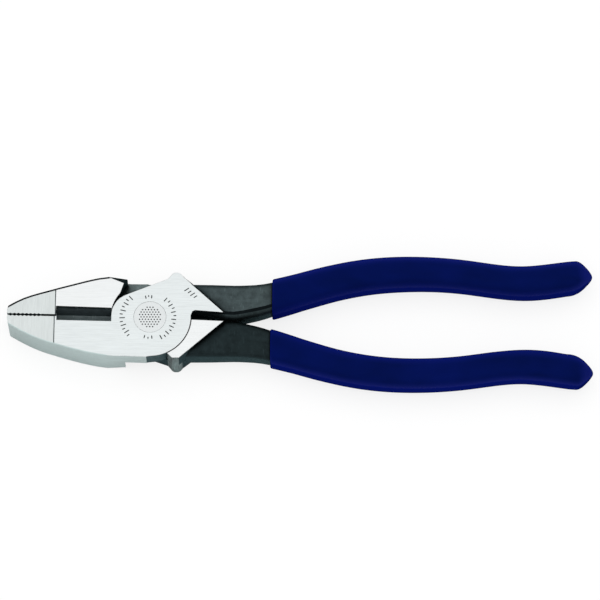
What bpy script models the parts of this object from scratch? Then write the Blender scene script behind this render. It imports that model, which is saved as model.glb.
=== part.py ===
"""Side-cutting lineman pliers: two half-lapped forgings, one rivet and two dipped grips.

Both forgings have one shape. The rear half is the front half turned half a turn about the
long axis, so each is drawn once, in a frame of its own: jaw towards -Y, handle towards +Y,
lap disc in the upper half of the thickness, and z = 0 on the plane between the two laps.
X runs from the nose to the handles, and the joint's axis is the Z axis. Values are in
millimetres and become metres where a mesh is made.
"""

import collections
import math

import bmesh
import bpy
import numpy as np

MM = 0.001

# Driving dimensions
HEAD_THICKNESS = 13.4
LAP_GAP = 0.1  # between the two lap discs
DISC_RADIUS = 13.2  # outside of a lap disc where the other half's handle root sweeps round it
ROOT_RADIUS = 13.45  # hollow of the handle root that faces the other half's disc
HEEL_RADIUS = 12.7  # hollow of the jaw's heel that faces the other half's disc
CLOSING_OFFSET = 0.45  # the jaws meet about this far to the +Y side of the joint's axis
KNIFE_GAP = 0.08  # from the line where the jaws meet to each cutting edge
NOSE_GAP = 0.25  # from the line where the jaws meet to each gripping face
TOOTH_PITCH = 1.3
TOOTH_DEPTH = 0.27
TOOTH_COUNT = 8
FIRST_CREST = 0.5  # from the nose to the first tooth's crest
NOSE_CORNER = 0.3  # depth by which the closing edge is broken at the nose
RIVET_RADIUS = 4.0
RIVET_HEAD_RADIUS = 5.2
RIVET_HEAD_DEPTH = 2.4
RIVET_CLEARANCE = 0.08
GRIP_COAT = 0.85
GRIP_CLEARANCE = 0.1
GRIP_TIP_OUTER = 5.2  # length over which the outer side of a grip rounds off to its tip
GRIP_TIP_INNER = 9.5
TAIL_SWELL = 0.06  # share by which a grip's outer side swells, this far before its tip
TAIL_SWELL_AT = 6.3
TAIL_SWELL_LENGTH = 5.0
TANG_END = 134.0
TANG_END_CLEARANCE = 0.3
TIP_STEPS = 8
TIP_FLAT = 0.1  # a grip's tip is cut off flat this far before its point
LIP_LENGTH = 0.4  # the grip's front edge is broken by this much along and across
LIP_DEPTH = 0.35
NECK_STATION = 2.5  # longest distance between two sections of a neck, and of a grip
GRIP_STATION = 4.5

HALF = HEAD_THICKNESS / 2

# How far joined pieces run into each other, and cutters run past what they cut
JOIN_OVERLAP = 0.3
CUT_CLEAR = 1.0
HOLLOW_SPREAD = 15.0  # degrees
HOLLOW_TOP = 0.55

# What differs between the two forgings
FIELDS = "name closing shoulder heel_x step_x knife_x grip_start grip_end"
Half = collections.namedtuple("Half", FIELDS)
FRONT = Half("front_half", CLOSING_OFFSET, 15.2, -7.95, -30.7, -30.2, 39.5, 143.7)
REAR = Half("rear_half", -CLOSING_OFFSET, 14.45, -7.4, -30.4, -30.4, 38.9, 143.4)

# Outer edge of a jaw, from the nose's corner to where the side is stepped in at the joint,
# and the share of the closing offset by which each point moves with it
JAW_EDGE = (
    (-45.85, -3.2, 1.8),
    (-42.2, -5.3, 1.7),
    (-38.7, -6.9, 1.3),
    (-35.3, -8.15, 0.85),
    (-31.0, -9.45, 0.65),
    (-25.5, -11.0, 0.55),
    (-19.3, -12.6, 0.7),
    (-14.3, -13.45, 0.8),
    (-8.0, -13.45, 0.3),
    (-1.0, -13.5, 0.0),
)
NOSE_X = -46.2
NOSE_FLAT = 0.9  # width of each jaw's part of the nose's end that is square to X
JAW_APEX_X = -14.3  # widest place of the jaw, where its heel starts to narrow
JAW_EDGE_STEPS = 13  # straight pieces from the nose to the apex, and from there to the step
LAP_EDGE_STEPS = 5
HEEL_OUTER_Y = -13.1
HEEL_INNER = ((-8.6, -11.5), (-9.7, -8.2))
HEEL_CHAMFER = 1.0
# Edge of the lap disc from the knife slot to the straight flank, as (y, x)
DISC_FLANK = (
    (0.75, -12.4),
    (2.8, -12.2),
    (4.2, -11.55),
    (5.6, -10.65),
    (7.0, -9.0),
    (8.16, -6.5),
)
DISC_FLANK_STEPS = 8
SLOT_END_X = -12.44
DIAMOND_TIP = (24.2, 1.65)
ROOT_TIP = (23.8, 1.25)
ROOT_ANGLES = (65.0, 3.4)  # ends of the root's hollow
ROOT_SHOULDER_X = (9.5, 7.3)
ROOT_SHOULDER_DROP = 0.35  # the root's shoulder lies this far inside the diamond's
DISC_STEP = (-0.8, -13.35)  # where the side steps in to the disc
DISC_ANGLES = (-84.0, -3.8)

# Shares of the closing offset where the gripping faces meet, at the nose and next to the slot,
# and where the knives meet, at the slot's two ends
NOSE_CLOSING_SHARES = (1.8, 1.1)
KNIFE_CLOSING_SHARES = (1.85, 1.06)
PLAIN_DROP = 0.11  # the plain face beside the slot lies this much below the teeth's crests
PLAIN_END_X = -34.95
KNIFE_END_RUN = 0.05  # length over which the closing edge drops from the knife to the plain face

# Middle line of a handle in plan, and half width and half thickness of its steel
HANDLE_LINE = (
    (10.0, 7.3),
    (22.0, 6.95),
    (31.0, 6.9),
    (39.0, 8.4),
    (48.4, 11.2),
    (57.9, 14.0),
    (72.8, 16.8),
    (87.5, 17.4),
    (102.4, 16.3),
    (120.9, 14.35),
    (132.3, 15.45),
    (143.2, 16.55),
)
STEEL_SECTIONS = (
    (10.0, 5.05, 5.0),
    (24.0, 5.35, 4.85),
    (31.0, 5.4, 4.7),
    (38.0, 4.85, 4.25),
    (48.0, 4.4, 4.15),
    (60.0, 4.2, 4.1),
    (143.2, 4.1, 4.1),
)
STEEL_CORNER = 2.35
# How much further the neck reaches on its inner side, where the two necks nearly touch
NECK_FILL = (
    (10.0, 0.0),
    (18.0, 0.1),
    (22.0, 0.65),
    (24.5, 1.15),
    (27.0, 1.2),
    (29.2, 0.85),
    (31.3, 0.5),
    (33.5, 0.46),
    (36.0, 0.5),
    (38.5, 0.48),
    (40.0, 0.35),
    (43.0, 0.0),
)
LEAN_LENGTH = 12.0  # sections turn from square to X at the grip's edge to square to the line
OUTER_ROUNDNESS = 1.8  # how blunt each side of a grip's tail is
INNER_ROUNDNESS = 2.2

# Knife bevels: distance from the cutting edge across the jaw, and height above the lap plane.
# The first point is out in the slot, so that a narrow land is left on the edge.
KNIFE_BEVEL = ((-0.1, -0.1), (1.2, 1.75), (1.92, HALF))
NOSE_STEP = 0.12  # the nose is ground this much lower than the joint's faces
NOSE_STEP_RUN = 0.35

ARC_STEP_DEG = 3.0


# Curves


def natural_spline(knots):
    """A function y(x): the natural cubic spline through the knots, whose x only grows."""
    x, y = np.array(knots).T
    gap = np.diff(x)
    matrix = np.eye(len(x))
    pull = np.zeros(len(x))
    for i in range(1, len(x) - 1):
        matrix[i, i - 1 : i + 2] = gap[i - 1], 2 * (gap[i - 1] + gap[i]), gap[i]
        pull[i] = 6 * ((y[i + 1] - y[i]) / gap[i] - (y[i] - y[i - 1]) / gap[i - 1])
    bend = np.linalg.solve(matrix, pull)

    def value(at):
        i = int(np.clip(np.searchsorted(x, at) - 1, 0, len(gap) - 1))
        before = (x[i + 1] - at) / gap[i]
        after = 1 - before
        curve = (before**3 - before) * bend[i] + (after**3 - after) * bend[i + 1]
        return before * y[i] + after * y[i + 1] + curve * gap[i] ** 2 / 6

    return value


def arc(radius, start_deg, end_deg, step_deg=ARC_STEP_DEG):
    """Points on a circle about the joint's axis, both ends included."""
    count = max(2, round(abs(end_deg - start_deg) / step_deg) + 1)
    angles = np.radians(np.linspace(start_deg, end_deg, count))
    return [(radius * math.cos(a), radius * math.sin(a)) for a in angles]


def angle_deg(point):
    return math.degrees(math.atan2(point[1], point[0]))


# Meshes


def new_object(name, bm, parent, material=None):
    """An object of this bmesh, whose points are in millimetres."""
    bmesh.ops.recalc_face_normals(bm, faces=bm.faces)
    bmesh.ops.scale(bm, vec=(MM, MM, MM), verts=bm.verts)
    mesh = bpy.data.meshes.new(name)
    bm.to_mesh(mesh)
    bm.free()
    obj = bpy.data.objects.new(name, mesh)
    bpy.context.scene.collection.objects.link(obj)
    obj.parent = parent
    if material:
        mesh.materials.append(material)
    return obj


def prism(name, outline, low, high, parent, axes=(0, 1, 2), material=None):
    """The outline pushed from low to high. axes gives the place of outline x, outline y and the push."""
    bm = bmesh.new()
    corners = []
    for point in outline:
        where = [0.0, 0.0, 0.0]
        for value, axis in zip((*point, low), axes):
            where[axis] = value
        corners.append(bm.verts.new(where))
    base = bm.faces.new(corners)
    push = [0.0, 0.0, 0.0]
    push[axes[2]] = high - low
    grown = bmesh.ops.extrude_face_region(bm, geom=[base], use_keep_orig=True)
    moved = [v for v in grown["geom"] if isinstance(v, bmesh.types.BMVert)]
    bmesh.ops.translate(bm, verts=moved, vec=push)
    return new_object(name, bm, parent, material)


def loft(name, rings, parent, material=None):
    """A closed body through rings that all have the same number of points."""
    bm = bmesh.new()
    placed = [[bm.verts.new(point) for point in ring] for ring in rings]
    for ring, following in zip(placed, placed[1:]):
        for i in range(len(ring)):
            after = (i + 1) % len(ring)
            bm.faces.new((ring[i], ring[after], following[after], following[i]))
    bm.faces.new(placed[0])
    bm.faces.new(placed[-1])
    return new_object(name, bm, parent, material)


def turned(name, profile, parent, segments=72, material=None):
    """A solid turned about the joint's axis from (radius, z) points, bottom to top."""
    rings = []
    for radius, z in profile:
        angles = [2 * math.pi * i / segments for i in range(segments)]
        rings.append([(radius * math.cos(a), radius * math.sin(a), z) for a in angles])
    return loft(name, rings, parent, material)


def boolean(body, helper, operation):
    """Joins or cuts the body with the helper, which stays as a hidden guide."""
    helper.hide_render = True
    helper.display_type = "WIRE"
    modifier = body.modifiers.new(helper.name, "BOOLEAN")
    modifier.operation = operation
    modifier.object = helper


def finish_shading(obj, sharp_deg):
    obj.data.shade_smooth()
    obj.data.set_sharp_from_angle(angle=math.radians(sharp_deg))


# Materials


def material(name, color, metallic, roughness):
    made = bpy.data.materials.new(name)
    made.use_nodes = True
    shader = made.node_tree.nodes["Principled BSDF"]
    shader.inputs["Base Color"].default_value = (*color, 1.0)
    shader.inputs["Metallic"].default_value = metallic
    shader.inputs["Roughness"].default_value = roughness
    return made


# The outlines of one forging


def jaw_edge_points(half):
    """The jaw's outer edge from the nose to where the side is stepped in at the joint."""
    knots = [(x, y + share * half.closing) for x, y, share in JAW_EDGE]
    height = natural_spline(knots)
    jaw = np.linspace(knots[0][0], JAW_APEX_X, JAW_EDGE_STEPS + 1)
    lap = np.linspace(JAW_APEX_X, knots[-1][0], LAP_EDGE_STEPS + 1)[1:]
    return [(x, height(x)) for x in (*jaw, *lap)]


def jaw_apex(half):
    return jaw_edge_points(half)[JAW_EDGE_STEPS]


def knife_y(half, x):
    """The cutting edge, which slants a little across the slot."""
    share = np.interp(x, (half.knife_x, SLOT_END_X), KNIFE_CLOSING_SHARES)
    return half.closing * float(share) - KNIFE_GAP


def gripping_edge(half):
    """The jaw's closing edge from the slot's end to the nose: knife, plain face and teeth."""

    def face_y(x):
        share = np.interp(x, (NOSE_X, half.knife_x), NOSE_CLOSING_SHARES)
        return half.closing * float(share) - NOSE_GAP

    points = [(x, knife_y(half, x)) for x in (SLOT_END_X, half.knife_x)]
    for x in (half.knife_x - KNIFE_END_RUN, PLAIN_END_X):
        points.append((x, face_y(x) - PLAIN_DROP))
    first_crest = NOSE_X + FIRST_CREST
    for tooth in reversed(range(TOOTH_COUNT)):
        crest_x = first_crest + TOOTH_PITCH * (tooth + 1)
        valley_x = crest_x - TOOTH_PITCH / 2
        points.append((crest_x, face_y(crest_x)))
        points.append((valley_x, face_y(valley_x) - TOOTH_DEPTH))
    points.append((first_crest, face_y(first_crest)))
    for drop in (NOSE_CORNER, NOSE_CORNER + NOSE_FLAT):
        points.append((NOSE_X, face_y(NOSE_X) - drop))
    return points


def diamond_points(half):
    """The flat at the handle's root in the front half of the thickness, from its inner corner."""
    top = half.shoulder
    return [
        (13.2, 0.7),
        (13.7, 2.0),
        (14.6, 2.4),
        DIAMOND_TIP,
        (13.45, top - 3.55),
        (10.5, top - 1.25),
        (9.8, top - 0.4),
        (9.0, top),
        (7.8, top),
        (7.1, top - 0.4),
        (5.7, top - 2.1),
    ]


def front_outline(half):
    """Jaw, lap disc and the diamond at the handle's root."""
    points = jaw_edge_points(half)
    points.append(DISC_STEP)
    points += arc(DISC_RADIUS, *DISC_ANGLES)
    points += diamond_points(half)
    flank = natural_spline(DISC_FLANK)
    for y in np.linspace(DISC_FLANK[-1][0], DISC_FLANK[0][0], DISC_FLANK_STEPS + 1)[:-1]:
        points.append((flank(y), y))
    return points + gripping_edge(half)


def rear_jaw_outline(half):
    """Jaw and heel, hollowed round the other half's disc."""
    points = jaw_edge_points(half)[: JAW_EDGE_STEPS + 1]
    points += [(half.heel_x, HEEL_OUTER_Y), *HEEL_INNER]
    heel_start = angle_deg(HEEL_INNER[-1])
    heel_end = -180 - math.degrees(math.asin(knife_y(half, SLOT_END_X) / HEEL_RADIUS))
    points += arc(HEEL_RADIUS, heel_start, heel_end)[1:]
    return points + gripping_edge(half)[1:]


def root_outline(half):
    """The handle's root in the rear half of the thickness."""
    shoulder_y = half.shoulder - ROOT_SHOULDER_DROP
    corners = [ROOT_TIP] + [(x, shoulder_y) for x in ROOT_SHOULDER_X]
    return corners + arc(ROOT_RADIUS, *ROOT_ANGLES)


# Handles


def rounded_section(half_width, half_thickness, corner, corner_steps=7):
    """Points (across, z) of a rounded rectangle, anticlockwise."""
    points = []
    for quarter in range(4):
        side_x = (1, -1, -1, 1)[quarter]
        side_z = (1, 1, -1, -1)[quarter]
        for step in range(corner_steps + 1):
            a = math.radians(90 * (quarter + step / corner_steps))
            across = side_x * (half_width - corner) + corner * math.cos(a)
            points.append((across, side_z * (half_thickness - corner) + corner * math.sin(a)))
    return points


handle_line = natural_spline(HANDLE_LINE)


def steel_size(x):
    """Half width and half thickness of the steel where the middle line is at x."""
    stations, widths, thicknesses = np.array(STEEL_SECTIONS).T
    return np.interp(x, stations, widths), np.interp(x, stations, thicknesses)


def neck_fill(x):
    stations, fills = np.array(NECK_FILL).T
    return float(np.interp(x, stations, fills))


def handle_ring(x, coat, lean=1.0, outer=1.0, inner=1.0, fill=0.0):
    """The handle's section where its middle line is at x, grown by coat.

    lean is 1 for a section square to the middle line and 0 for one square to the X axis.
    outer and inner shrink the two sides of the section, for the grip's tail, and fill moves
    the inner side outwards.
    """
    slope = (handle_line(x + 0.01) - handle_line(x - 0.01)) / 0.02
    stretch = math.sqrt(1 + slope**2) / (1 + lean * slope**2)
    half_width, half_thickness = steel_size(x)
    ring = []
    for across, z in rounded_section(half_width + coat, half_thickness + coat, STEEL_CORNER + coat):
        reach = (across * outer if across > 0 else across * inner - fill) * stretch
        flat = z * (outer + inner) / 2
        ring.append((x - reach * lean * slope, handle_line(x) + reach, flat))
    return ring


def handle_stations(start, end, longest=GRIP_STATION):
    count = math.ceil((end - start) / longest) + 1
    return np.linspace(start, end, count)


def lean_at(x, start):
    """How far a section has turned square to the middle line, past the grip's straight front edge."""
    return float(np.clip(abs(x - start) / LEAN_LENGTH, 0, 1))


def tang(half, parent):
    """Neck and tang, from inside the root to inside the grip's tail."""
    name = f"{half.name}_tang"
    rings = []
    neck = handle_stations(HANDLE_LINE[0][0], half.grip_start, NECK_STATION)
    for x in (*neck, *handle_stations(half.grip_start, TANG_END)[1:]):
        rings.append(handle_ring(x, 0, lean_at(x, half.grip_start), fill=neck_fill(x)))
    made = loft(name, rings, parent)
    low_angle, high_angle = sorted(ROOT_ANGLES)
    hollow = [(0.0, 0.0)] + arc(ROOT_RADIUS, low_angle - HOLLOW_SPREAD, high_angle + HOLLOW_SPREAD)
    cutter = prism(f"{name}_hollow", hollow, -HALF - CUT_CLEAR, HOLLOW_TOP, parent)
    boolean(made, cutter, "DIFFERENCE")
    return made


def tail_share(distance, length, roundness):
    """Share of the full section this far from the grip's tip."""
    return 1 - (1 - min(1.0, distance / length)) ** roundness


def tail_swell(distance):
    return 1 + TAIL_SWELL * math.exp(-(((distance - TAIL_SWELL_AT) / TAIL_SWELL_LENGTH) ** 2))


def grip(name, half, parent, colour):
    """The dipped coat: outside from the tail to the front, then the socket back to its end."""
    bore = GRIP_CLEARANCE
    coat = GRIP_CLEARANCE + GRIP_COAT
    rings = []
    for distance in np.linspace(0, GRIP_TIP_INNER, TIP_STEPS + 1)[:-1] + TIP_FLAT:
        outer = tail_share(distance, GRIP_TIP_OUTER, OUTER_ROUNDNESS) * tail_swell(distance)
        inner = tail_share(distance, GRIP_TIP_INNER, INNER_ROUNDNESS)
        rings.append(handle_ring(half.grip_end - distance, coat, 1.0, outer, inner))
    outside = handle_stations(half.grip_start + LIP_LENGTH, half.grip_end - GRIP_TIP_INNER)
    for x in outside[::-1]:
        swell = tail_swell(half.grip_end - x)
        rings.append(handle_ring(x, coat, lean_at(x, half.grip_start), swell))
    rings.append(handle_ring(half.grip_start, coat - LIP_DEPTH, 0.0))
    for x in handle_stations(half.grip_start, TANG_END):
        rings.append(handle_ring(x, bore, lean_at(x, half.grip_start), fill=neck_fill(x)))
    rings.append(handle_ring(TANG_END + TANG_END_CLEARANCE, bore))
    made = loft(name, rings, parent, colour)
    finish_shading(made, 60)
    return made


# One forging


def knife_notches(half, parent):
    """Two cutters that leave the knife's bevels, one from each face."""
    section = [(-back, height) for back, height in KNIFE_BEVEL]
    section.append((-KNIFE_BEVEL[-1][0], HALF + CUT_CLEAR))
    section.append((CUT_CLEAR, HALF + CUT_CLEAR))
    section.append((CUT_CLEAR, KNIFE_BEVEL[0][1]))
    cutters = []
    for side, label in ((1, "front"), (-1, "rear")):
        rings = []
        for x in (half.knife_x, SLOT_END_X):
            rings.append([(x, knife_y(half, x) + across, side * z) for across, z in section])
        cutters.append(loft(f"{half.name}_knife_{label}", rings, parent))
    return cutters


def nose_steps(half, parent):
    """Two cutters that grind the nose a little below the joint's faces."""
    cutters = []
    for side, label in ((1, "front"), (-1, "rear")):
        outline = [
            (NOSE_X - CUT_CLEAR, side * (HALF - NOSE_STEP)),
            (half.step_x - NOSE_STEP_RUN, side * (HALF - NOSE_STEP)),
            (half.step_x, side * (HALF + 0.01)),
            (half.step_x, side * (HALF + CUT_CLEAR)),
            (NOSE_X - CUT_CLEAR, side * (HALF + CUT_CLEAR)),
        ]
        name = f"{half.name}_step_{label}"
        reach = DISC_RADIUS + CUT_CLEAR
        cutters.append(prism(name, outline, -reach, reach, parent, (0, 2, 1)))
    return cutters


def heel_chamfer(half, parent):
    """A cutter for the sloping facet on the jaw's heel, growing from nothing at the apex."""
    apex = np.array((*jaw_apex(half), -HALF))
    inner = np.array((*HEEL_INNER[0], -HALF))
    outer = np.array((half.heel_x, HEEL_OUTER_Y, HEEL_CHAMFER - HALF))
    normal = np.cross(inner - apex, outer - apex)
    normal /= np.linalg.norm(normal)
    along = (inner - apex) / np.linalg.norm(inner - apex)
    side = np.cross(normal, along)
    length, width, height = 12, 8, 4
    bm = bmesh.new()
    bmesh.ops.create_cube(bm, size=1.0)
    for vert in bm.verts:
        u, v, w = vert.co
        vert.co = apex + along * (u + 0.5) * length + side * v * width + normal * (w + 0.5) * height
    return new_object(f"{half.name}_heel_facet", bm, parent)


def rivet_profile(clearance):
    """(radius, z) of the rivet: a shank with a countersunk head flush with each face."""
    shank_z = HALF - RIVET_HEAD_DEPTH
    head = RIVET_HEAD_RADIUS + clearance
    shank = RIVET_RADIUS + clearance
    upper = [(shank, shank_z), (head, HALF)]
    if clearance:
        upper.append((head, HALF + CUT_CLEAR))
    return [(radius, -z) for radius, z in reversed(upper)] + upper


def forging(half, parent, steel):
    """One half of the pliers in its own frame: jaw at -Y, handle at +Y, disc above z = 0."""
    lap = LAP_GAP / 2
    body = prism(half.name, front_outline(half), lap, HALF, parent, material=steel)
    overlap = lap + JOIN_OVERLAP
    jaw = prism(f"{half.name}_jaw", rear_jaw_outline(half), -HALF, overlap, parent)
    boolean(body, jaw, "UNION")
    root = prism(f"{half.name}_root", root_outline(half), -HALF, overlap, parent)
    boolean(body, root, "UNION")
    boolean(body, tang(half, parent), "UNION")
    for cutter in knife_notches(half, parent) + nose_steps(half, parent):
        boolean(body, cutter, "DIFFERENCE")
    boolean(body, heel_chamfer(half, parent), "DIFFERENCE")
    bore = turned(f"{half.name}_bore", rivet_profile(RIVET_CLEARANCE), parent)
    boolean(body, bore, "DIFFERENCE")
    finish_shading(body, 30)
    return body


def pivot(name, turn_x):
    """An empty on the joint's axis at the lap plane, which carries one half."""
    made = bpy.data.objects.new(name, None)
    bpy.context.scene.collection.objects.link(made)
    made.location = (0, 0, HALF * MM)
    made.rotation_euler = (turn_x, 0, 0)
    return made


def main():
    for obj in list(bpy.data.objects):
        bpy.data.objects.remove(obj)
    steel = material("ground_steel", (0.78, 0.8, 0.8), 1.0, 0.32)
    bright = material("rivet_steel", (0.76, 0.78, 0.78), 1.0, 0.3)
    plastic = material("dipped_plastic", (0.005, 0.01, 0.12), 0.0, 0.3)
    front = pivot("front_pivot", 0.0)
    rear = pivot("rear_pivot", math.pi)
    forging(FRONT, front, steel)
    forging(REAR, rear, steel)
    rivet = turned("rivet", rivet_profile(0), front, material=bright)
    finish_shading(rivet, 30)
    grip("upper_grip", FRONT, front, plastic)
    grip("lower_grip", REAR, rear, plastic)


main()
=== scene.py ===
"""Looks of the side-cutting lineman pliers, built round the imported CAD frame.

The two forgings are the CAD meshes with broken edges, ground, oxide and stamped surfaces.
The rivet and the dipped grips are built anew. Values are in millimetres and become metres
where a mesh is made, and the texture scales are in cycles per metre.
"""

import math

import bmesh
import bpy
import numpy as np
from mathutils import Matrix, Vector

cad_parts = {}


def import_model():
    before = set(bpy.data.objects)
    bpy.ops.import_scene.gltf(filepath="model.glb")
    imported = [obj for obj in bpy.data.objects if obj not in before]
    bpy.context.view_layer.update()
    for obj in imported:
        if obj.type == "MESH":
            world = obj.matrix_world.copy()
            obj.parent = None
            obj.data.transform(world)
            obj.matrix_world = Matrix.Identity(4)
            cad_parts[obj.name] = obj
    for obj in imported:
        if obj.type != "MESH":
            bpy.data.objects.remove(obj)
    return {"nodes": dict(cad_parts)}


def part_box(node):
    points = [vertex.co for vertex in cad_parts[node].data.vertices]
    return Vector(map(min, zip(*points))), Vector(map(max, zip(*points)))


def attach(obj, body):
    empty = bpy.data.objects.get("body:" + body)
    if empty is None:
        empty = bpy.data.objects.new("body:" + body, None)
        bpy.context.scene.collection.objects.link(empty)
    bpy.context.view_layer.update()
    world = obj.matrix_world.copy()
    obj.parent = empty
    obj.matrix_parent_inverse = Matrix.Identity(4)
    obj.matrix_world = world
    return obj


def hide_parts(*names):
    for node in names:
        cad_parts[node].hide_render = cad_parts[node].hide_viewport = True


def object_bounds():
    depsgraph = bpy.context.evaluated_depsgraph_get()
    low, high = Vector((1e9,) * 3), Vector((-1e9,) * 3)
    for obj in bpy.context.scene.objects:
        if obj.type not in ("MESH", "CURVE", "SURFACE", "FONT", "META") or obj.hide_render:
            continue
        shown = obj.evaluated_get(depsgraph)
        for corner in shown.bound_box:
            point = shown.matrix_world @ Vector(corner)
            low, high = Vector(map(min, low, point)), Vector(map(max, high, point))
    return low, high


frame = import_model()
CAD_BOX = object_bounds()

MM = 0.001

# The head, as the CAD nodes have it
FRONT_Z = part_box("front_half")[1].z / MM
NOSE_END_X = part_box("front_half")[0].x / MM
RIVET_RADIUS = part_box("rivet")[1].x / MM
MID_Z = FRONT_Z / 2
DISC_RADIUS = 13.2
HEEL_X = -7.3
LAP_STEP_X = -0.95  # where a jaw's ground side ends at the joint
APEX_X = -14.3  # widest place of a jaw, where its heel starts to narrow
SLOT_END_X = -12.4
SLOT_REACH = 2.75  # the slot's walls, the knives and the teeth lie nearer to the axis than this
NECK_X = 35.0  # no edge is broken past this place
SHOULDER_X = (5.4, 10.4)
SHOULDER_Y = 12.6  # a shoulder's end stands out further than this
SHOULDER_SLANT = 0.35
SHOULDER_MARGIN = 0.5
SHOULDER_DEPTH = 0.1  # of the vertices on the root's face
SHOULDER_OVERLAP = 0.02
ROOT_OUTLINE_X = (5.68, 7.3, 9.5, 11.45)  # the root's shoulder in plan
ROOT_FOOT = 12.3  # how far out that shoulder's two feet are
ROOT_Y = 1.0  # the root's slanted edge lies further to its own side than this
STEP_X = {"front_half": -30.5, "rear_half": -30.2}  # where the nose's finish begins
FLANK_X = (16.0, 60.0)  # stretch of the neck whose inner side has its own material, darker as painted shade on the front half
JAW_SIDE_Y = 2.0  # a jaw's ground side lies further out than this
NOSE_END_DEPTH = 1.0
FACE_DEPTH = 0.3  # what lies less deep than this belongs to a ground face
EDGE_DEPTH = 0.02  # and what lies less deep than this is on its very edge
LAP_DEPTH = 0.4  # what lies nearer than this to the plane between the laps belongs to it

# How far a face looks along an axis, as the size of that part of its normal
FLAT = 0.95
UPRIGHT = 0.3
OUTWARD = 0.3
SQUARE = 0.8
LEVEL = 0.997
KNIFE_LOOK = (0.4, 0.8)
CREASE_LOOK = 0.93

# Edge breaks
EDGE_BREAK = 0.12
RIM_BREAK = {"front_half": 0.35, "rear_half": 0.85}  # along the jaw's outer rim
RIM_START = 0.6  # from the nose's end
RIM_Y = 2.5
ROOT_BREAK = 0.3
BORE_RIM = 0.6  # edges this near to the bore, the closing line and the laps' plane stay sharp
CLOSING_REACH = 2.0
LAP_REACH = 0.5
EDGE_ANGLE = math.radians(28)
WELD = 0.05
COPLANAR = math.radians(0.6)
SEAL = 0.015  # joins what the edge breaks leave closer than this
HEAD_END_X = 14.0
HEAD_SHARP = math.radians(13)
NECK_SHARP = math.radians(35)

# Stamped marks
STROKE_WIDTH = 0.36
STROKE_DEPTH = 0.14
STROKE_FLOOR = 0.35  # size of a stroke's floor as a share of its mouth
CUTTER_RISE = 0.5
SHORTENED = 0.4  # every other radial stroke lacks this share of its length, at its inner end
# First and last angle, pitch in degrees, inner and outer radius
DISC_ARCS = (
    (134, 222, 8, 8.0, 9.9),
    (-62, 50, 9, 6.9, 8.6),
    (86, 102, 8, 6.3, 7.5),
    (-104, -84, 8, 6.3, 7.5),
)
ROW_CENTRE = (13.2, 8.2)  # of the strokes near the root's slanted edge
ROW_ANGLE = math.radians(-41)
ROW_LEAN = math.radians(75)
ROW_COUNT, ROW_PITCH, ROW_LENGTH, ROW_SHORTER = 4, 1.25, 1.9, 0.5
PIT_PITCH = 0.95
PIT_ROW = 0.87  # distance between rows as a share of the pitch
PIT_ROWS = 5
PIT_FIELD = 3.5
PIT_SIZE = 0.3
DIAMOND = ((1, 0), (0, 1), (-1, 0), (0, -1))

# The rivet
RIVET_EDGE = 0.05
RIVET_GROWN = 0.045  # closes most of the gap round the CAD rivet, so that a hairline shows
RIVET_SHANK = 4.0
RIVET_HEAD_DEPTH = 2.4

# Material slots of a forging, and those of the rivet
FACE, NOSE, SIDE, OXIDE, LAP, EDGE, BEVEL = range(7)
KNIFE, RIM, SHOULDER, CREASE, FLANK, STAMP = range(7, 13)
RIVET_FACE, RIVET_SIDE, RIVET_PITS = range(3)


# Meshes


def new_object(name, bm, scale=MM):
    bmesh.ops.scale(bm, vec=(scale,) * 3, verts=bm.verts)
    mesh = bpy.data.meshes.new(name)
    bm.to_mesh(mesh)
    bm.free()
    obj = bpy.data.objects.new(name, mesh)
    bpy.context.scene.collection.objects.link(obj)
    return obj


def join_rings(bm, rings):
    """Walls of four-sided faces between rings that have as many vertices each."""
    for ring, following in zip(rings, rings[1:]):
        for i in range(len(ring)):
            after = (i + 1) % len(ring)
            bm.faces.new((ring[i], ring[after], following[after], following[i]))


def apply_modifiers(obj):
    """Makes the shape that the modifiers give the object's own mesh."""
    depsgraph = bpy.context.evaluated_depsgraph_get()
    mesh = bpy.data.meshes.new_from_object(obj.evaluated_get(depsgraph))
    obj.modifiers.clear()
    obj.data = mesh


def cut(obj, cutter):
    modifier = obj.modifiers.new("cut", "BOOLEAN")
    modifier.operation = "DIFFERENCE"
    modifier.solver = "EXACT"
    modifier.object = cutter
    apply_modifiers(obj)
    bpy.data.objects.remove(cutter)


def smooth_rounds(bm):
    """Shades rounded faces smooth, with sharp edges between the facets of the head."""
    for face in bm.faces:
        face.smooth = face.material_index not in (FACE, NOSE)
    for edge in bm.edges:
        head = max(v.co.x for v in edge.verts) < HEAD_END_X
        limit = HEAD_SHARP if head else NECK_SHARP
        edge.smooth = len(edge.link_faces) == 2 and edge.calc_face_angle() < limit


def welded_copy(node):
    """A mesh of the CAD node in millimetres, its triangles joined to flat faces."""
    bm = bmesh.new()
    bm.from_mesh(frame["nodes"][node].data)
    bmesh.ops.scale(bm, vec=(1 / MM,) * 3, verts=bm.verts)
    bmesh.ops.remove_doubles(bm, verts=bm.verts, dist=WELD)
    bmesh.ops.dissolve_degenerate(bm, dist=WELD / 2, edges=bm.edges)
    bmesh.ops.dissolve_limit(bm, angle_limit=COPLANAR, verts=bm.verts, edges=bm.edges)
    return bm


def near_face(verts, depth=FACE_DEPTH):
    """True where all the vertices lie less than depth under either ground face."""
    return min(abs(v.co.z - MID_Z) for v in verts) > MID_Z - depth


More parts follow.
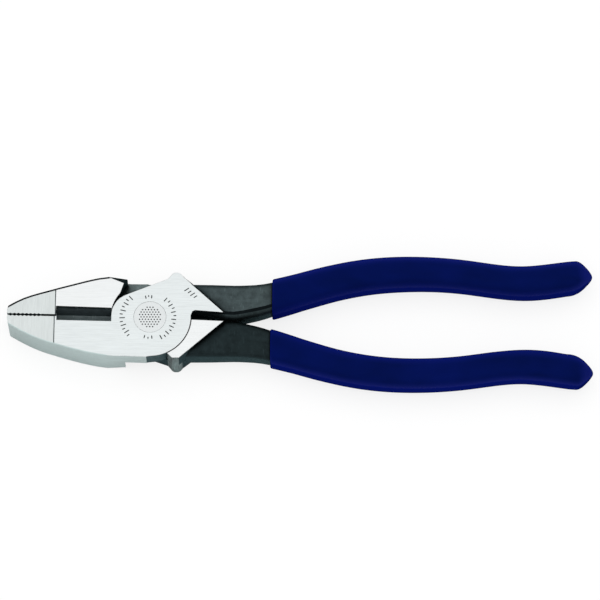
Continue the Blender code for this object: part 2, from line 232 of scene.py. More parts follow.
def slant_shoulder(bm, outer):
    """Joins the two steps of a shoulder's end into one slanted wall.

    The diamond's part stands out further than the root's part, which lies behind it.
    """
    ends = []
    for vert in bm.verts:
        x, y, z = vert.co
        depth = z if outer > 0 else FRONT_Z - z
        if SHOULDER_X[0] < x < SHOULDER_X[1] + SHOULDER_MARGIN and -y * outer > SHOULDER_Y:
            ends.append((vert, depth))
    root_depth = FRONT_Z - SHOULDER_DEPTH
    crest = max(-v.co.y * outer for v, depth in ends if depth > root_depth)
    for vert, depth in ends:
        reach = -vert.co.y * outer
        if abs(depth - MID_Z) < LAP_DEPTH / 2:
            beside = np.interp(vert.co.x, ROOT_OUTLINE_X, (ROOT_FOOT, crest, crest, ROOT_FOOT))
            vert.co.y = -outer * min(reach, beside + SHOULDER_OVERLAP)
        elif depth > root_depth:
            vert.co.y = -outer * (reach - SHOULDER_SLANT)


def on_jaw_side(centre, normal, outer):
    """True for the ground side of a jaw, its heel and the nose's end."""
    beside = normal.y * outer > OUTWARD and centre.y * outer > JAW_SIDE_Y and centre.x < HEEL_X
    heel = normal.y * outer > SQUARE and centre.y * outer > DISC_RADIUS
    end = normal.x < -SQUARE and centre.x < NOSE_END_X + NOSE_END_DEPTH
    return beside or heel or end


def face_zone(face, node):
    """Which finish a face of a forging has, by where it is and where it looks."""
    centre = face.calc_center_median()
    normal = face.normal
    outer = 1 if node == "rear_half" else -1
    height = abs(centre.z - MID_Z)
    flat = abs(normal.z) > FLAT
    if flat and height > MID_Z - FACE_DEPTH:
        return NOSE if centre.x < STEP_X[node] else FACE
    if flat and height < LAP_DEPTH:
        return LAP
    upright = abs(normal.z) < UPRIGHT
    if upright and centre.x < LAP_STEP_X and on_jaw_side(centre, normal, outer):
        return SIDE
    if centre.x < SLOT_END_X and abs(centre.y) < SLOT_REACH:
        return KNIFE if KNIFE_LOOK[0] < abs(normal.z) < KNIFE_LOOK[1] else BEVEL
    if upright and SHOULDER_X[0] < centre.x < SHOULDER_X[1] and centre.y * outer < -SHOULDER_Y:
        return SHOULDER
    if FLANK_X[0] < centre.x < FLANK_X[1] and normal.y * outer > 0 and abs(normal.z) < LEVEL:
        return CREASE if abs(normal.z) > CREASE_LOOK else FLANK
    return OXIDE


def breakable(edge):
    """True for an edge that the grinder or the tumbler has broken."""
    if len(edge.link_faces) != 2 or not edge.is_convex:
        return False
    if edge.calc_face_angle() < EDGE_ANGLE:
        return False
    middle = (edge.verts[0].co + edge.verts[1].co) / 2
    reach = math.hypot(middle.x, middle.y)
    bore = reach < RIVET_RADIUS + BORE_RIM
    closing = middle.x < SLOT_END_X and abs(middle.y) < CLOSING_REACH
    inner = abs(middle.z - MID_Z) < LAP_REACH
    return not (bore or closing or inner or middle.x > NECK_X)


def on_root(edge, outer):
    """True for the slanted edge where the ground face stands above the neck."""
    if not breakable(edge) or max(v.co.y * outer for v in edge.verts) > -ROOT_Y:
        return False
    slanted = max(face.normal.x for face in edge.link_faces) > OUTWARD
    past_shoulder = min(v.co.x for v in edge.verts) > SHOULDER_X[1]
    return near_face(edge.verts, EDGE_DEPTH) and slanted and past_shoulder


def bevel(bm, edges, offset, segments=2):
    made = bmesh.ops.bevel(
        bm,
        geom=edges,
        offset=offset,
        offset_type="OFFSET",
        segments=segments,
        profile=0.5,
        affect="EDGES",
        clamp_overlap=False,
        material=-1,
    )
    return made["faces"]


def break_edges(bm, node):
    """Bevels the broken edges and gives those round a ground face a worn finish. The jaw's outer
    rim and the root's slanted edge get materials of their own instead, dark with painted shade
    and reflection everywhere but on the front half's rim.
    """
    outer = 1 if node == "rear_half" else -1
    rims = []
    for edge in filter(breakable, bm.edges):
        middle = (edge.verts[0].co + edge.verts[1].co) / 2
        along_jaw = NOSE_END_X + RIM_START < middle.x < APEX_X
        if near_face(edge.verts) and along_jaw and middle.y * outer > RIM_Y:
            rims.append(edge)
    for face in bevel(bm, rims, RIM_BREAK[node]):
        face.material_index = RIM
    roots = [edge for edge in bm.edges if on_root(edge, outer)]
    for face in bevel(bm, roots, ROOT_BREAK):
        face.material_index = CREASE
    for face in bevel(bm, list(filter(breakable, bm.edges)), EDGE_BREAK):
        if face.material_index not in (RIM, CREASE) and near_face(face.verts):
            face.material_index = EDGE


def forging(node, body, materials):
    bm = welded_copy(node)
    slant_shoulder(bm, 1 if node == "rear_half" else -1)
    bm.normal_update()
    for face in bm.faces:
        face.material_index = face_zone(face, node)
    break_edges(bm, node)
    bmesh.ops.remove_doubles(bm, verts=bm.verts, dist=SEAL)
    bmesh.ops.dissolve_degenerate(bm, dist=SEAL / 2, edges=bm.edges)
    smooth_rounds(bm)
    bmesh.ops.triangulate(bm, faces=[f for f in bm.faces if len(f.verts) > 4])
    obj = new_object(f"{node}_forging", bm)
    for zone in sorted(materials):
        obj.data.materials.append(materials[zone])
    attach(obj, body)
    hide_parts(node)
    return obj


# Stamped marks


def capsule(centre, angle, length, width, ends=3):
    """The outline of a stroke with round ends."""
    points = []
    for end in (1, -1):
        for step in range(ends + 1):
            turn = math.radians(-90 + 180 * step / ends) + (0 if end > 0 else math.pi)
            along = end * (length - width) / 2 + math.cos(turn) * width / 2
            across = math.sin(turn) * width / 2
            points.append(
                (
                    centre[0] + along * math.cos(angle) - across * math.sin(angle),
                    centre[1] + along * math.sin(angle) + across * math.cos(angle),
                )
            )
    return points


def shrunk(outline, share):
    middle = np.mean(outline, axis=0)
    return [tuple(middle + (np.array(point) - middle) * share) for point in outline]


def radial_strokes(start_deg, end_deg, pitch_deg, inner, outer):
    """Strokes that point at the joint's axis, every other one shorter."""
    strokes = []
    count = round((end_deg - start_deg) / pitch_deg)
    for i in range(count + 1):
        angle = math.radians(start_deg + (end_deg - start_deg) * i / count)
        near = inner if i % 2 == 0 else inner + (outer - inner) * SHORTENED
        radius = (near + outer) / 2
        centre = (radius * math.cos(angle), radius * math.sin(angle))
        strokes.append(capsule(centre, angle, outer - near, STROKE_WIDTH))
    return strokes


def disc_strokes():
    return [stroke for arc in DISC_ARCS for stroke in radial_strokes(*arc)]


def diamond_strokes():
    """Short parallel strokes along the slanted edge at the handle's root."""
    strokes = []
    for i in range(ROW_COUNT):
        offset = (i - (ROW_COUNT - 1) / 2) * ROW_PITCH
        x = ROW_CENTRE[0] + offset * math.cos(ROW_ANGLE)
        y = ROW_CENTRE[1] + offset * math.sin(ROW_ANGLE)
        length = ROW_LENGTH - ROW_SHORTER * (i % 2)
        strokes.append(capsule((x, y), ROW_ANGLE + ROW_LEAN, length, STROKE_WIDTH))
    return strokes


def punched_field():
    """Small square pits in rows, inside a circle on the rivet."""
    pits = []
    rows = range(-PIT_ROWS, PIT_ROWS + 1)
    for i in rows:
        for j in rows:
            x = (i + (j % 2) / 2) * PIT_PITCH
            y = j * PIT_PITCH * PIT_ROW
            if math.hypot(x, y) < PIT_FIELD:
                pits.append([(x + PIT_SIZE * u, y + PIT_SIZE * v) for u, v in DIAMOND])
    return pits


def engrave(obj, outlines, slot_index):
    """Cuts tapered strokes into the front face."""
    bm = bmesh.new()
    levels = (
        (STROKE_FLOOR, FRONT_Z - STROKE_DEPTH),
        (1.0, FRONT_Z),
        (1.0, FRONT_Z + CUTTER_RISE),
    )
    for outline in outlines:
        rings = []
        for share, z in levels:
            rings.append([bm.verts.new((x, y, z)) for x, y in shrunk(outline, share)])
        join_rings(bm, rings)
        bm.faces.new(rings[0][::-1])
        bm.faces.new(rings[-1])
    for face in bm.faces:
        face.material_index = slot_index
    cutter = new_object("strokes", bm)
    for made in obj.data.materials:
        cutter.data.materials.append(made)
    cut(obj, cutter)


# Grips and rivet


def natural_spline(knots):
    """A function y(x): the natural cubic spline through the knots, whose x only grows."""
    x, y = np.array(knots).T
    gap = np.diff(x)
    matrix = np.eye(len(x))
    pull = np.zeros(len(x))
    for i in range(1, len(x) - 1):
        matrix[i, i - 1 : i + 2] = gap[i - 1], 2 * (gap[i - 1] + gap[i]), gap[i]
        pull[i] = 6 * ((y[i + 1] - y[i]) / gap[i] - (y[i] - y[i - 1]) / gap[i - 1])
    bend = np.linalg.solve(matrix, pull)

    def value(at):
        i = int(np.clip(np.searchsorted(x, at) - 1, 0, len(gap) - 1))
        before = (x[i + 1] - at) / gap[i]
        after = 1 - before
        curve = (before**3 - before) * bend[i] + (after**3 - after) * bend[i + 1]
        return before * y[i] + after * y[i + 1] + curve * gap[i] ** 2 / 6

    return value


HANDLE_LINE = (
    (10.0, 7.3),
    (22.0, 6.95),
    (31.0, 6.9),
    (39.0, 8.4),
    (48.4, 11.2),
    (57.9, 14.0),
    (72.8, 16.8),
    (87.5, 17.4),
    (102.4, 16.3),
    (120.9, 14.35),
    (132.3, 15.45),
    (143.2, 16.55),
)
# Half width and half thickness of the steel where the middle line is at x
STEEL_SECTIONS = (
    (10.0, 5.05, 5.0),
    (24.0, 5.35, 4.85),
    (31.0, 5.4, 4.7),
    (38.0, 4.85, 4.25),
    (48.0, 4.4, 4.15),
    (60.0, 4.2, 4.1),
    (143.2, 4.1, 4.1),
)
STEEL_CORNER = 2.35
SLOPE_STEP = 0.01
NECK_FILL = ((38.5, 0.48), (40.0, 0.35), (43.0, 0.0))  # the steel's inner side reaches further
LEAN_LENGTH = 12.0
GRIP_COAT = 0.95
GRIP_BORE = 0.03
GRIP_HALF_WIDTH = 5.15
LIP_RADIUS = 0.6
SOCKET_DEPTH = 9.0
TAIL_OUTER, TAIL_INNER = 5.2, 9.5
OUTER_ROUNDNESS, INNER_ROUNDNESS = 1.8, 2.2
TAIL_SWELL, TAIL_SWELL_AT, TAIL_SWELL_LENGTH = 0.035, 6.3, 5.0
TAIL_ROUNDING = 0.055  # fills out the whole of a tail
TIP_ROUNDING = 0.035  # makes the very tip of a tail blunt, over this length
BLUNT_LENGTH = 2.0
TIP_REACH = -0.01
# Rings along a tail, crowded towards the tip, which the first one nearly closes
TAIL_RINGS, TAIL_START, TAIL_CROWDING = 28, 0.02, 1.6
GRIP_STEP = 1.0
LIP_RINGS = SOCKET_RINGS = 6
LIP_SHARP = math.radians(55)

# Where the dip hangs thicker along the inner side, and by how much
UPPER_SAG = (
    (39.0, 0.4),
    (50.0, 0.62),
    (60.0, 0.68),
    (70.0, 0.58),
    (80.0, 0.45),
    (90.0, 0.22),
    (100.0, 0.05),
    (118.0, 0.12),
    (128.0, 0.33),
    (137.0, 0.0),
)
LOWER_SAG = (
    (39.0, 0.0),
    (60.0, 0.14),
    (85.0, 0.05),
    (100.0, 0.0),
    (120.0, 0.1),
    (128.0, 0.28),
    (135.0, 0.0),
)

handle_line = natural_spline(HANDLE_LINE)


def rounded_section(half_width, half_thickness, corner, corner_steps=9, flat_steps=4):
    """Points (across, z) of a rounded rectangle, anticlockwise."""
    points = []
    for quarter in range(4):
        side_x = (1, -1, -1, 1)[quarter]
        side_z = (1, 1, -1, -1)[quarter]
        for step in range(corner_steps + 1):
            a = math.radians(90 * (quarter + step / corner_steps))
            across = side_x * (half_width - corner) + corner * math.cos(a)
            points.append((across, side_z * (half_thickness - corner) + corner * math.sin(a)))
    even = []
    for i, point in enumerate(points):
        even.append(point)
        if (i + 1) % (corner_steps + 1) == 0:
            after = points[(i + 1) % len(points)]
            for step in range(1, flat_steps):
                share = step / flat_steps
                even.append(tuple(p + (q - p) * share for p, q in zip(point, after)))
    return even


def neck_fill(x):
    stations, fills = np.array(NECK_FILL).T
    return float(np.interp(x, stations, fills))


def handle_ring(x, coat, lean, outer=1.0, inner=1.0, fill=0.0):
    """The upper handle's section where its middle line is at x, grown by coat.

    lean is 0 for a ring square to the X axis and 1 for one square to the middle line. outer
    and inner stretch the two sides of the section, and fill grows its inner side.
    """
    slope = (handle_line(x + SLOPE_STEP) - handle_line(x - SLOPE_STEP)) / (2 * SLOPE_STEP)
    stretch = math.sqrt(1 + slope**2) / (1 + lean * slope**2)
    stations, widths, thicknesses = np.array(STEEL_SECTIONS).T
    half_width = np.interp(x, stations, widths) + coat
    half_thickness = np.interp(x, stations, thicknesses) + coat
    ring = []
    for across, z in rounded_section(half_width, half_thickness, STEEL_CORNER + coat):
        reach = (across * outer if across > 0 else across * inner - fill) * stretch
        height = z * (outer + inner) / 2
        ring.append((x - reach * lean * slope, handle_line(x) + reach, height))
    return ring


def tail_share(distance, length, roundness):
    """Share of the full section this far from the grip's tip, blunt at the very tip."""
    share = 1 - (1 - min(1.0, distance / length)) ** roundness
    full = TAIL_ROUNDING * max(0.0, 1 - distance / length)
    blunt = TIP_ROUNDING * max(0.0, 1 - distance / BLUNT_LENGTH)
    return math.sqrt(share**2 + (full + blunt) * distance)


def tail_swell(distance):
    return 1 + TAIL_SWELL * math.exp(-(((distance - TAIL_SWELL_AT) / TAIL_SWELL_LENGTH) ** 2))


def grip_rings(start, end, sag_knots):
    """Rings from the tail's tip along the outside, round the lip and into the socket."""
    sag = natural_spline(sag_knots)
    rings = []
    for share in np.linspace(TAIL_START, 1, TAIL_RINGS)[:-1] ** TAIL_CROWDING:
        distance = share * TAIL_INNER
        outer = tail_share(distance, TAIL_OUTER, OUTER_ROUNDNESS) * tail_swell(distance)
        inner = tail_share(distance, TAIL_INNER, INNER_ROUNDNESS)
        rings.append(handle_ring(end - distance, GRIP_COAT, 1.0, outer, inner))
    for x in np.arange(end - TAIL_INNER, start + LIP_RADIUS, -GRIP_STEP):
        lean = min(1.0, (x - start) / LEAN_LENGTH)
        thicker = 1 + max(0.0, sag(x)) / GRIP_HALF_WIDTH
        rings.append(handle_ring(x, GRIP_COAT, lean, tail_swell(end - x), thicker))
    for angle in np.radians(np.linspace(0, 90, LIP_RINGS)):
        x = start + LIP_RADIUS * (1 - math.sin(angle))
        coat = GRIP_COAT - LIP_RADIUS * (1 - math.cos(angle))
        thicker = 1 + sag(x) / GRIP_HALF_WIDTH
        rings.append(handle_ring(x, coat, max(0.0, (x - start) / LEAN_LENGTH), 1.0, thicker))
    for depth in np.linspace(0, SOCKET_DEPTH, SOCKET_RINGS):
        x = start + depth
        rings.append(handle_ring(x, GRIP_BORE, min(1.0, depth / LEAN_LENGTH), fill=neck_fill(x)))
    return rings


def loft(name, rings, turn):
    """A closed body through the rings, turned half a turn about X for the rear half."""
    bm = bmesh.new()
    side = -1 if turn else 1
    placed = []
    for ring in rings:
        placed.append([bm.verts.new((x, side * y, side * z + MID_Z)) for x, y, z in ring])
    join_rings(bm, placed)
    bm.faces.new(placed[0])
    bm.faces.new(placed[-1])
    bmesh.ops.recalc_face_normals(bm, faces=bm.faces)
    return new_object(name, bm)


def grip(name, node, body, sag_knots, made):
    """The dipped grip that replaces the node. The rear half's is turned about the long axis."""
    low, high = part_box(node)
    rings = grip_rings(low.x / MM, high.x / MM + TIP_REACH, sag_knots)
    obj = loft(name, rings, body == "rear")
    obj.data.shade_smooth()
    obj.data.set_sharp_from_angle(angle=LIP_SHARP)
    obj.data.materials.append(made)
    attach(obj, body)
    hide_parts(node)
    return obj


def turned(name, profile, segments=96):
    """A solid turned about the joint's axis from (radius, z) points, bottom to top."""
    angles = [2 * math.pi * i / segments for i in range(segments)]
    rings = []
    for radius, z in profile:
        rings.append([(radius * math.cos(a), radius * math.sin(a), z) for a in angles])
    return loft(name, rings, False)


def rivet(materials):
    """The rivet, ground flush with both faces, with a field of small punched pits."""
    upper = [
        (RIVET_SHANK, MID_Z - RIVET_HEAD_DEPTH),
        (RIVET_RADIUS + RIVET_GROWN, MID_Z - RIVET_EDGE),
        (RIVET_RADIUS - RIVET_EDGE + RIVET_GROWN, MID_Z),
    ]
    obj = turned("joint_rivet", [(r, -z) for r, z in upper[::-1]] + upper)
    for made in materials:
        obj.data.materials.append(made)
    for polygon in obj.data.polygons:
        flat = abs(polygon.normal.z) > FLAT
        polygon.material_index = RIVET_FACE if flat else RIVET_SIDE
        polygon.use_smooth = not flat
    engrave(obj, punched_field(), RIVET_PITS)
    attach(obj, "front")
    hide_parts("rivet")


# Shader graphs


class Graph:
    """Adds and links the nodes of one material."""

    def __init__(self, name):
        self.material = bpy.data.materials.new(name)
        self.material.use_nodes = True
        self.tree = self.material.node_tree
        self.shader = self.tree.nodes["Principled BSDF"]

    def add(self, kind, inputs, **settings):
        node = self.tree.nodes.new(kind)
        for key, value in settings.items():
            setattr(node, key, value)
        for key, value in inputs.items():
            self.feed(node, key, value)
        return node

    def feed(self, node, key, value):
        """Links a socket to the node's input, or sets the input to a value."""
        if isinstance(value, bpy.types.NodeSocket):
            self.tree.links.new(value, node.inputs[key])
        else:
            node.inputs[key].default_value = value

    def finish(self, **inputs):
        """Feeds the shader, with an underscore for each space in an input's name."""
        for key, value in inputs.items():
            self.feed(self.shader, key.replace("_", " "), value)
        return self.material

    def place(self):
        """Coordinates of the object's own frame, which the texture rides on."""
        return self.add("ShaderNodeTexCoord", {}).outputs["Object"]

    def noise(self, scale, detail=3.0, roughness=0.5):
        """Noise from 0 to 1. scale is one number, or three for streaks."""
        where = self.place()
        if isinstance(scale, tuple):
            where = self.add("ShaderNodeMapping", {"Vector": where, "Scale": scale}).outputs[0]
            scale = 1.0
        inputs = {"Vector": where, "Scale": scale, "Detail": detail, "Roughness": roughness}
        return self.add("ShaderNodeTexNoise", inputs).outputs[0]

    def spread(self, value, low, high, from_low=0.3, from_high=0.7):
        """The value, remapped to run from low to high."""
        keys = ("Value", "From Min", "From Max", "To Min", "To Max")
        inputs = dict(zip(keys, (value, from_low, from_high, low, high)))
        return self.add("ShaderNodeMapRange", inputs).outputs[0]

    def math(self, operation, first, second):
        inputs = {0: first, 1: second}
        return self.add("ShaderNodeMath", inputs, operation=operation).outputs[0]

    def mix(self, share, first, second):
        """A colour between two others. The node has one set of sockets for each kind of value."""
        node = self.tree.nodes.new("ShaderNodeMix")
        node.data_type = "RGBA"
        for index, value in ((0, share), (6, first), (7, second)):
            self.feed(node, index, (*value, 1.0) if isinstance(value, tuple) else value)
        return node.outputs[2]

    def bump(self, height, distance, strength=1.0, normal=None):
        """A normal bent by the height, on top of another bump's normal if there is one."""
        inputs = {"Height": height, "Distance": distance, "Strength": strength}
        if normal:
            inputs["Normal"] = normal
        return self.add("ShaderNodeBump", inputs).outputs[0]

    def direction(self, vector):
        """A direction of the object's own frame, in the world."""
        settings = {"vector_type": "VECTOR", "convert_from": "OBJECT", "convert_to": "WORLD"}
        return self.add("ShaderNodeVectorTransform", {"Vector": vector}, **settings).outputs[0]


def shade(colour, share):
    return tuple(channel * share for channel in colour)


BRUSH_DEPTH = 0.000012
BRUSH_LENGTHWISE = 260.0
BRUSH_FINE, BRUSH_COARSE = 5200.0, 1700.0
COARSE_LONGER = 0.4


def brushed(name, colour, along, roughness=0.36, streak=0.07, patches=0.03, fineness=1.0):
    """Ground steel: streaks along one axis, with faint patches."""
    graph = Graph(name)
    axis = "xyz".index(along)
    fine_scales = [BRUSH_FINE * fineness] * 3
    fine_scales[axis] = BRUSH_LENGTHWISE
    coarse_scales = [BRUSH_COARSE * fineness] * 3
    coarse_scales[axis] = BRUSH_LENGTHWISE * COARSE_LONGER
    fine = graph.noise(tuple(fine_scales), detail=2.0)
    coarse = graph.noise(tuple(coarse_scales))
    tangent = graph.direction(tuple(float(i == axis) for i in range(3)))
    patch = graph.noise(90.0)
    streaks = graph.math("ADD", graph.spread(fine, 0, 0.55), graph.spread(coarse, 0, 0.45))
    tone = graph.mix(streaks, shade(colour, 1 - streak), shade(colour, 1 + streak * 0.4))
    tone = graph.mix(graph.spread(patch, 0.0, patches * 4), tone, shade(colour, 0.75))
    rough = graph.spread(streaks, roughness - 0.07, roughness + 0.09, from_low=0, from_high=1)
    normal = graph.bump(streaks, BRUSH_DEPTH)
    return graph.finish(
        Base_Color=tone,
        Metallic=1.0,
        Roughness=rough,
        Anisotropic=0.55,
        Tangent=tangent,
        Normal=normal,
    )


GRAIN_DEPTH, MOTTLE_DEPTH = 0.00003, 0.00012
CORNER_SHADE_REACH = 0.0032
CORNER_SHADE_SKY = (0.66, 0.95)  # shares of open sky between which the painted shade in a corner goes from black to none


def oxide(name, colour, roughness=0.42, metallic=0.9, painted_corner_shade=False):
    """Forged steel with a dark oxide: mottled, slightly pitted, rubbed and scratched paler, and
    darkened in its corners as painted shade where asked.
    """
    graph = Graph(name)
    mottle = graph.noise(420.0, detail=5.0, roughness=0.6)
    grain = graph.noise(3800.0)
    rub = graph.noise((60.0, 380.0, 380.0), detail=4.0, roughness=0.6)
    scratch = graph.noise((3100.0, 330.0, 330.0), detail=2.0)
    rubbed = graph.spread(rub, 0, 0.3, from_low=0.55, from_high=0.8)
    scratched = graph.spread(scratch, 0, 0.3, from_low=0.64, from_high=0.74)
    tone = graph.mix(graph.spread(mottle, 0, 1), shade(colour, 0.72), shade(colour, 1.25))
    tone = graph.mix(rubbed, tone, shade(colour, 2.4))
    tone = graph.mix(scratched, tone, shade(colour, 3.5))
    if painted_corner_shade:
        # Painted shade: ambient occlusion darkens the colour in corners and recesses, where less
        # light reaches
        inputs = {"Distance": CORNER_SHADE_REACH}
        open_sky = graph.add("ShaderNodeAmbientOcclusion", inputs, samples=8).outputs["AO"]
        corner_shade = graph.spread(open_sky, 1, 0, *CORNER_SHADE_SKY)
        tone = graph.mix(corner_shade, tone, shade(colour, 0.05))
    rough = graph.spread(grain, roughness - 0.08, roughness + 0.12)
    normal = graph.bump(grain, GRAIN_DEPTH, 0.7)
    normal = graph.bump(mottle, MOTTLE_DEPTH, 0.6, normal)
    return graph.finish(
        Base_Color=tone,
        Metallic=metallic,
        Roughness=rough,
        Normal=normal,
        Specular_Tint=(0.7, 0.95, 1.0, 1.0),
    )


def bright_edge(name, colour):
    """The worn break along a ground edge."""
    graph = Graph(name)
    wear = graph.noise(700.0, detail=4.0, roughness=0.6)
    tone = graph.mix(graph.spread(wear, 0, 1), shade(colour, 0.7), colour)
    rough = graph.spread(wear, 0.2, 0.38)
    return graph.finish(Base_Color=tone, Metallic=1.0, Roughness=rough)


def stamped(name, colour):
    """The bottom of a stamped stroke, where the steel stays dull."""
    graph = Graph(name)
    grain = graph.noise(2600.0)
    tone = graph.mix(graph.spread(grain, 0, 1), shade(colour, 0.7), shade(colour, 1.3))
    return graph.finish(Base_Color=tone, Metallic=0.8, Roughness=0.55)


PEEL_DEPTH, WAVE_DEPTH = 0.000012, 0.00025


def plastisol(name, centre, flank):
    """Dipped vinyl: deep navy, satin, with the slow waves of a dipped skin, a painted sheen in
    the flank colour where the surface turns from the camera, and painted shade at the rim.
    """
    graph = Graph(name)
    facing = graph.add("ShaderNodeLayerWeight", {"Blend": 0.45}).outputs["Facing"]
    wave = graph.noise((70.0, 130.0, 130.0), detail=2.0)
    peel = graph.noise(1500.0, detail=2.0)
    speck = graph.noise(5200.0, detail=2.0)
    # Painted sheen: the colour runs from the centre colour to the lighter flank colour as the
    # surface turns from the camera, and painted shade darkens the rim
    painted_flank_sheen = graph.spread(facing, 0, 1, from_low=0.06, from_high=0.42)
    rim = graph.spread(facing, 0, 1, from_low=0.62, from_high=0.95)
    gloss = graph.spread(facing, 0.16, 0, from_low=0.15, from_high=0.55)
    tone = graph.mix(painted_flank_sheen, centre, flank)
    tone = graph.mix(graph.spread(wave, 0, 0.22), tone, shade(flank, 1.15))
    tone = graph.mix(rim, tone, shade(centre, 0.6))
    rough = graph.spread(speck, 0.42, 0.52)
    normal = graph.bump(peel, PEEL_DEPTH, 0.6)
    normal = graph.bump(wave, WAVE_DEPTH, 0.35, normal)
    return graph.finish(
        Base_Color=tone,
        Roughness=rough,
        Normal=normal,
        IOR=1.3,
        Specular_IOR_Level=gloss,
        Specular_Tint=(0.06, 0.16, 1.0, 1.0),
    )


face_upper = brushed("ground_face_upper", (0.95, 0.975, 0.98), "x", streak=0.1)
face_lower = brushed("ground_face_lower", (0.865, 0.915, 0.92), "x", streak=0.13)
nose_steel = brushed("ground_nose", (0.78, 0.83, 0.825), "y", streak=0.15)
side_steel = brushed("ground_side", (0.66, 0.79, 0.78), "x", roughness=0.34, streak=0.14)
oxide_upper = oxide("oxide_front", (0.057, 0.077, 0.08), painted_corner_shade=True)
# Painted shade: the rear half's oxide is the front's made darker, the same steel shown as if in
# less light
oxide_lower_painted_shade = oxide("oxide_rear_painted_shade", (0.014, 0.022, 0.024), painted_corner_shade=True)
lap_steel = oxide("oxide_lap", (0.13, 0.165, 0.165), roughness=0.4, painted_corner_shade=True)
bevel_steel = oxide("oxide_bevel", (0.05, 0.065, 0.07), roughness=0.5, metallic=0.3)
# Painted light: the knife facets that look up get a lighter tone than the slot's other walls, as
# if lit from above
knife_lit_steel = oxide("oxide_knife_painted_light", (0.2, 0.24, 0.245), roughness=0.42, metallic=0.3)
edge_steel = bright_edge("worn_edge", (0.9, 0.92, 0.92))
stamp_steel = stamped("stamped_stroke", (0.1, 0.11, 0.11))
shoulder_steel = brushed("milled_shoulder", (0.24, 0.32, 0.32), "z", streak=0.8, fineness=0.5)
# Painted reflection: the rear jaw's outer rim is near black, as if mirroring dark surroundings;
# the front rim keeps the ground side's steel
rim_dark_reflection_steel = oxide("oxide_rim_painted_reflection", (0.008, 0.011, 0.011), roughness=0.5)
# Painted shade: the front neck's crease and root edge are near black, and its inner flank is
# darker than its top, as if turned from the light
crease_shade_steel = oxide("oxide_crease_painted_shade", (0.004, 0.006, 0.007), roughness=0.55)
flank_shade_steel = oxide("oxide_flank_painted_shade", (0.026, 0.037, 0.039))
rivet_steel = brushed("ground_rivet", (0.83, 0.865, 0.87), "x")
# The second colour is the lighter navy of the painted sheen on the grips' flanks
navy = plastisol("navy_plastisol", (0.0008, 0.0036, 0.046), (0.0022, 0.0068, 0.118))

shared_materials = {
    NOSE: nose_steel,
    SIDE: side_steel,
    LAP: lap_steel,
    EDGE: edge_steel,
    BEVEL: bevel_steel,
    KNIFE: knife_lit_steel,
    SHOULDER: shoulder_steel,
    STAMP: stamp_steel,
}
front_materials = {
    FACE: face_lower,
    OXIDE: oxide_upper,
    RIM: side_steel,
    CREASE: crease_shade_steel,
    FLANK: flank_shade_steel,
}
rear_materials = {
    FACE: face_upper,
    OXIDE: oxide_lower_painted_shade,
    RIM: rim_dark_reflection_steel,
    CREASE: oxide_lower_painted_shade,
    FLANK: oxide_lower_painted_shade,
}
front_forging = forging("front_half", "front", shared_materials | front_materials)
forging("rear_half", "rear", shared_materials | rear_materials)
engrave(front_forging, disc_strokes() + diamond_strokes(), STAMP)
rivet([rivet_steel, edge_steel, stamp_steel])
grip("upper_dipped_grip", "upper_grip", "front", UPPER_SAG, navy)
grip("lower_dipped_grip", "lower_grip", "rear", LOWER_SAG, navy)


# Stage


def area_light(name, place, aim, size, radiance):
    """A soft box that looks as bright as radiance wherever it is seen."""
    data = bpy.data.lights.new(name, "AREA")
    data.shape = "RECTANGLE"
    data.size, data.size_y = size
    data.energy = radiance * math.pi * size[0] * size[1]
    obj = bpy.data.objects.new(name, data)
    bpy.context.scene.collection.objects.link(obj)
    obj.location = place
    obj.rotation_euler = (Vector(aim) - Vector(place)).to_track_quat("-Z", "Y").to_euler()
    return obj


FLOOR_REACH = 3.0
FLOOR_DROP = 0.0002
FLOOR_TONE = 0.97
FLOOR_SHADOW = 0.18  # share of the floor's brightness that a full shadow would take away


def floor():
    """A pale plane that glows, so that it stays pale in shade, and is grey in reflections."""
    bm = bmesh.new()
    bmesh.ops.create_grid(bm, x_segments=1, y_segments=1, size=FLOOR_REACH)
    obj = new_object("floor", bm, 1.0)
    obj.location = (0, 0, -FLOOR_DROP)
    graph = Graph("pale_floor")
    ray = graph.add("ShaderNodeLightPath", {}).outputs["Is Glossy Ray"]
    incoming = graph.add("ShaderNodeNewGeometry", {}).outputs["Incoming"]
    across = graph.add("ShaderNodeSeparateXYZ", {0: incoming}).outputs["Y"]
    far = graph.spread(across, 0, 1, from_low=-0.5, from_high=0.3)
    mirrored = graph.mix(far, (0.1, 0.1, 0.1), (0.6, 0.6, 0.6))
    tone = graph.mix(ray, shade((1, 1, 1), FLOOR_TONE * FLOOR_SHADOW), mirrored)
    glow = graph.mix(ray, shade((1, 1, 1), FLOOR_TONE * (1 - FLOOR_SHADOW)), (0, 0, 0))
    made = graph.finish(
        Base_Color=tone,
        Roughness=0.9,
        Specular_IOR_Level=0.1,
        Emission_Color=glow,
        Emission_Strength=1.0,
    )
    obj.data.materials.append(made)


SIDE_SPAN = (-0.2, 0.7)  # from the near side to the far side, as a share of the dome's radius
HEIGHT_SPAN = (0.1, 0.75)  # heights between which the dome grows bright


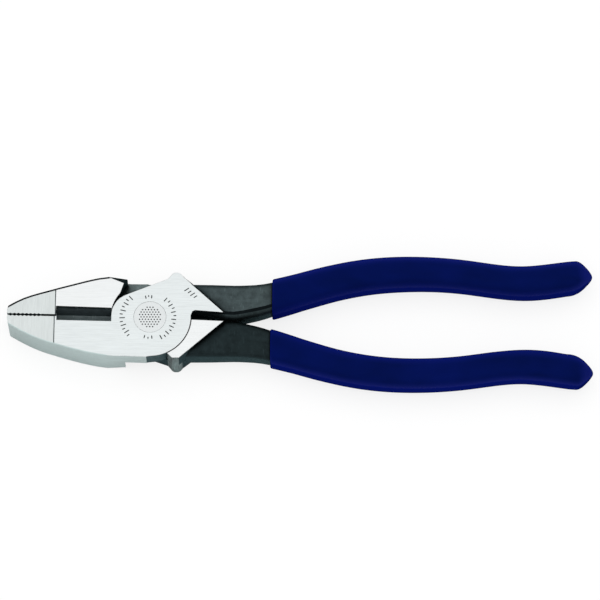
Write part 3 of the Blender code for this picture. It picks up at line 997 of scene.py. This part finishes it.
def world(zenith, near_horizon, far_horizon):
    """A white dome, darker towards the horizon and darkest on the far side."""
    made = bpy.data.worlds.new("studio")
    made.use_nodes = True
    tree = made.node_tree
    place = tree.nodes.new("ShaderNodeTexCoord")
    split = tree.nodes.new("ShaderNodeSeparateXYZ")
    side = tree.nodes.new("ShaderNodeMapRange")
    ramp = tree.nodes.new("ShaderNodeMapRange")
    keys = ("From Min", "From Max", "To Min", "To Max")
    for key, value in zip(keys, (*SIDE_SPAN, near_horizon, far_horizon)):
        side.inputs[key].default_value = value
    for key, value in zip(keys, (*HEIGHT_SPAN, 0.0, zenith)):
        ramp.inputs[key].default_value = value
    tree.links.new(place.outputs["Generated"], split.inputs[0])
    tree.links.new(split.outputs["Y"], side.inputs["Value"])
    tree.links.new(side.outputs[0], ramp.inputs["To Min"])
    tree.links.new(split.outputs["Z"], ramp.inputs["Value"])
    background = tree.nodes["Background"]
    background.inputs["Color"].default_value = (1.0, 1.0, 1.0, 1.0)
    tree.links.new(ramp.outputs[0], background.inputs["Strength"])
    bpy.context.scene.world = made


TILT = math.radians(19.0)
ROLL = math.radians(0.25)
CAMERA_DISTANCE = 1.4
SENSOR_WIDTH = 36.0
FRAME_WIDTH = 0.19506  # seen at the aim point
AIM_OFFSET = Vector((-0.00024, 0.0083, 0.0))


def camera():
    """Looks down from the near side, tilted from the vertical."""
    low, high = CAD_BOX
    aim = (low + high) / 2 + AIM_OFFSET
    data = bpy.data.cameras.new("camera")
    data.sensor_width = SENSOR_WIDTH
    data.lens = SENSOR_WIDTH * CAMERA_DISTANCE / FRAME_WIDTH
    data.clip_start, data.clip_end = 0.05, 20.0
    obj = bpy.data.objects.new("camera", data)
    bpy.context.scene.collection.objects.link(obj)
    back = Vector((0, -math.sin(TILT), math.cos(TILT)))
    turn = Matrix.Rotation(TILT, 3, "X") @ Matrix.Rotation(ROLL, 3, "Z")
    obj.matrix_world = Matrix.Translation(aim + back * CAMERA_DISTANCE) @ turn.to_4x4()
    bpy.context.scene.camera = obj


floor()
world(zenith=1.0, near_horizon=0.55, far_horizon=0.12)
overhead = area_light(
    "overhead", place=(0.05, 0.1, 1.1), aim=(0.05, 0.0, 0.0), size=(1.6, 1.6), radiance=0.95
)
overhead.visible_glossy = False
camera()
bpy.context.scene.view_settings.view_transform = "Standard"
